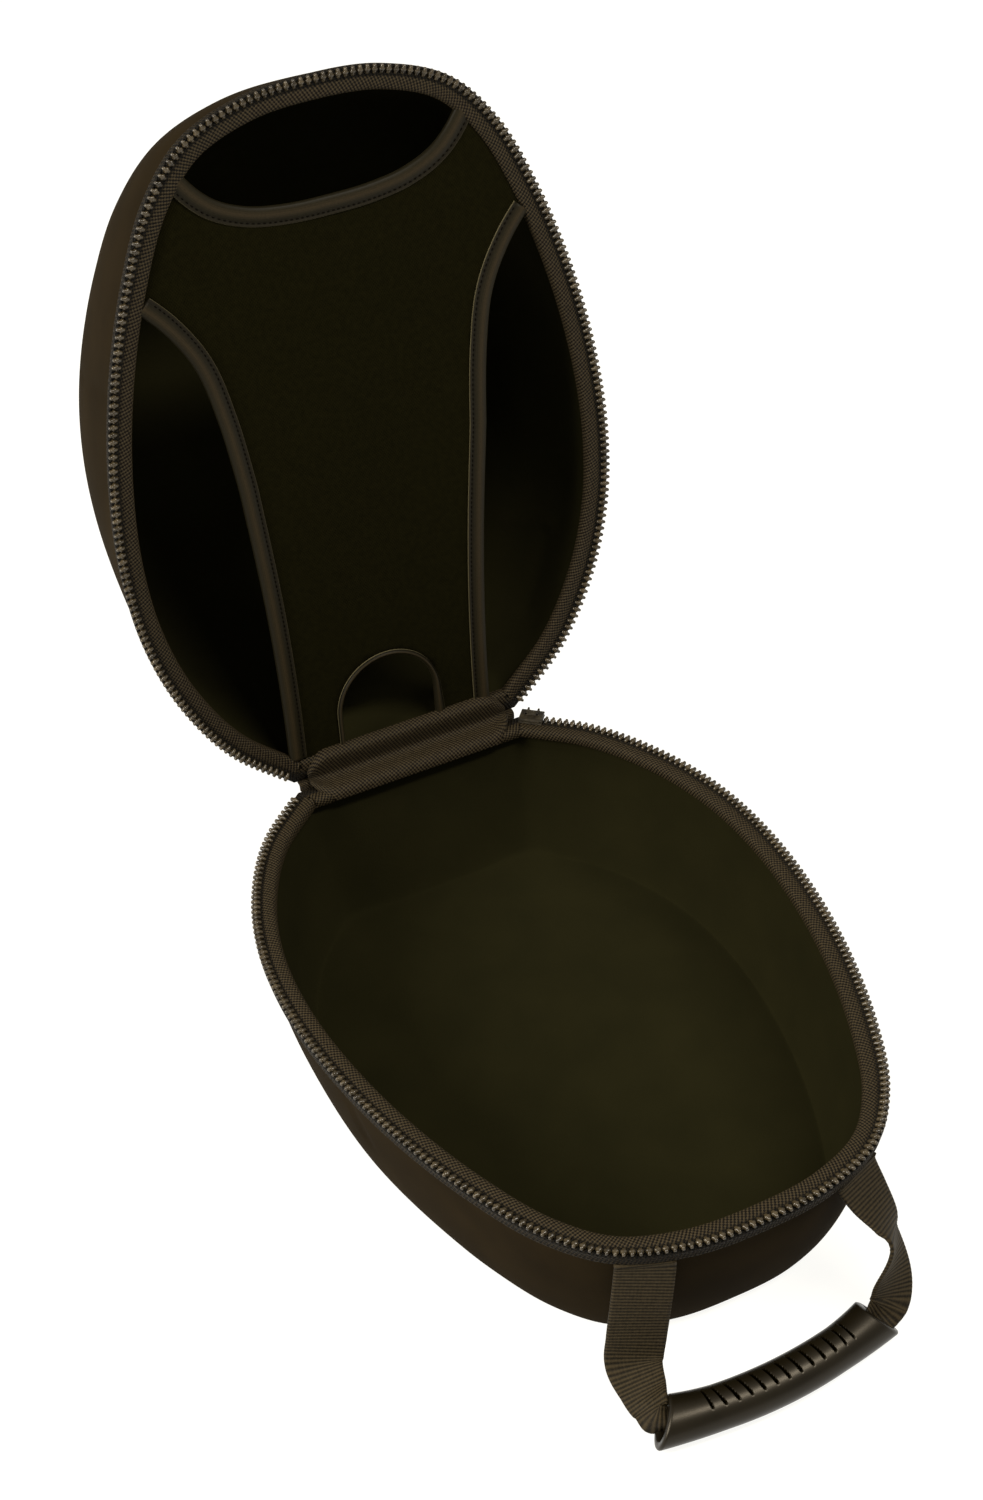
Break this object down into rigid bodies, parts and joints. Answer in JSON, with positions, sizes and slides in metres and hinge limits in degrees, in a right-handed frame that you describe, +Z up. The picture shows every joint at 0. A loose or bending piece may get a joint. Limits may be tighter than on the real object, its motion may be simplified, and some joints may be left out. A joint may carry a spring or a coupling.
{
  "type": "helmet bag",
  "caption": "Moulded clamshell bag for a riding helmet, standing open, with zipped rims, a cut-out panel in the lid and a webbing carry handle with a curved grip.",
  "frame": {"origin": "centre of the base's length and width, at the height of its flat bottom", "axes": "+X to the bag's right, +Y towards the hinge and the lid, -Y towards the carry handle, +Z up"},
  "size_m": [0.2499, 0.5158, 0.4122],
  "materials": {
    "shell_cloth": "smooth matt cloth over moulded foam",
    "tape_cloth": "herringbone woven tape",
    "tooth_plastic": "moulded, slight sheen",
    "panel_cloth": "brushed knit lining",
    "binding_cloth": "satin woven binding",
    "webbing_cloth": "ribbed webbing",
    "grip_plastic": "semi-gloss",
    "slider_metal": "satin black-brown"
  },
  "bodies": {
    "base": {"base_shell": "shell_cloth", "base_zip_tape": "tape_cloth", "base_zip_teeth": "tooth_plastic", "zip_slider": "slider_metal", "base_hinge_leaf": "tape_cloth", "handle_webbing": "webbing_cloth", "handle_grip": "grip_plastic"},
    "lid": {"lid_shell": "shell_cloth", "lid_zip_tape": "tape_cloth", "lid_zip_teeth": "tooth_plastic", "lid_hinge_leaf": "tape_cloth", "lid_panel": "panel_cloth", "panel_binding_top": "binding_cloth", "panel_binding_right": "binding_cloth", "panel_binding_left": "binding_cloth", "panel_binding_arch": "binding_cloth"}
  },
  "joints": [
    {"name": "lid_hinge", "type": "hinge", "parent": "base", "child": "lid", "pos_m": [0, 0.17, 0.0748], "axis": [-1, 0, 0], "range_deg": [-97, 53]}
  ]
}
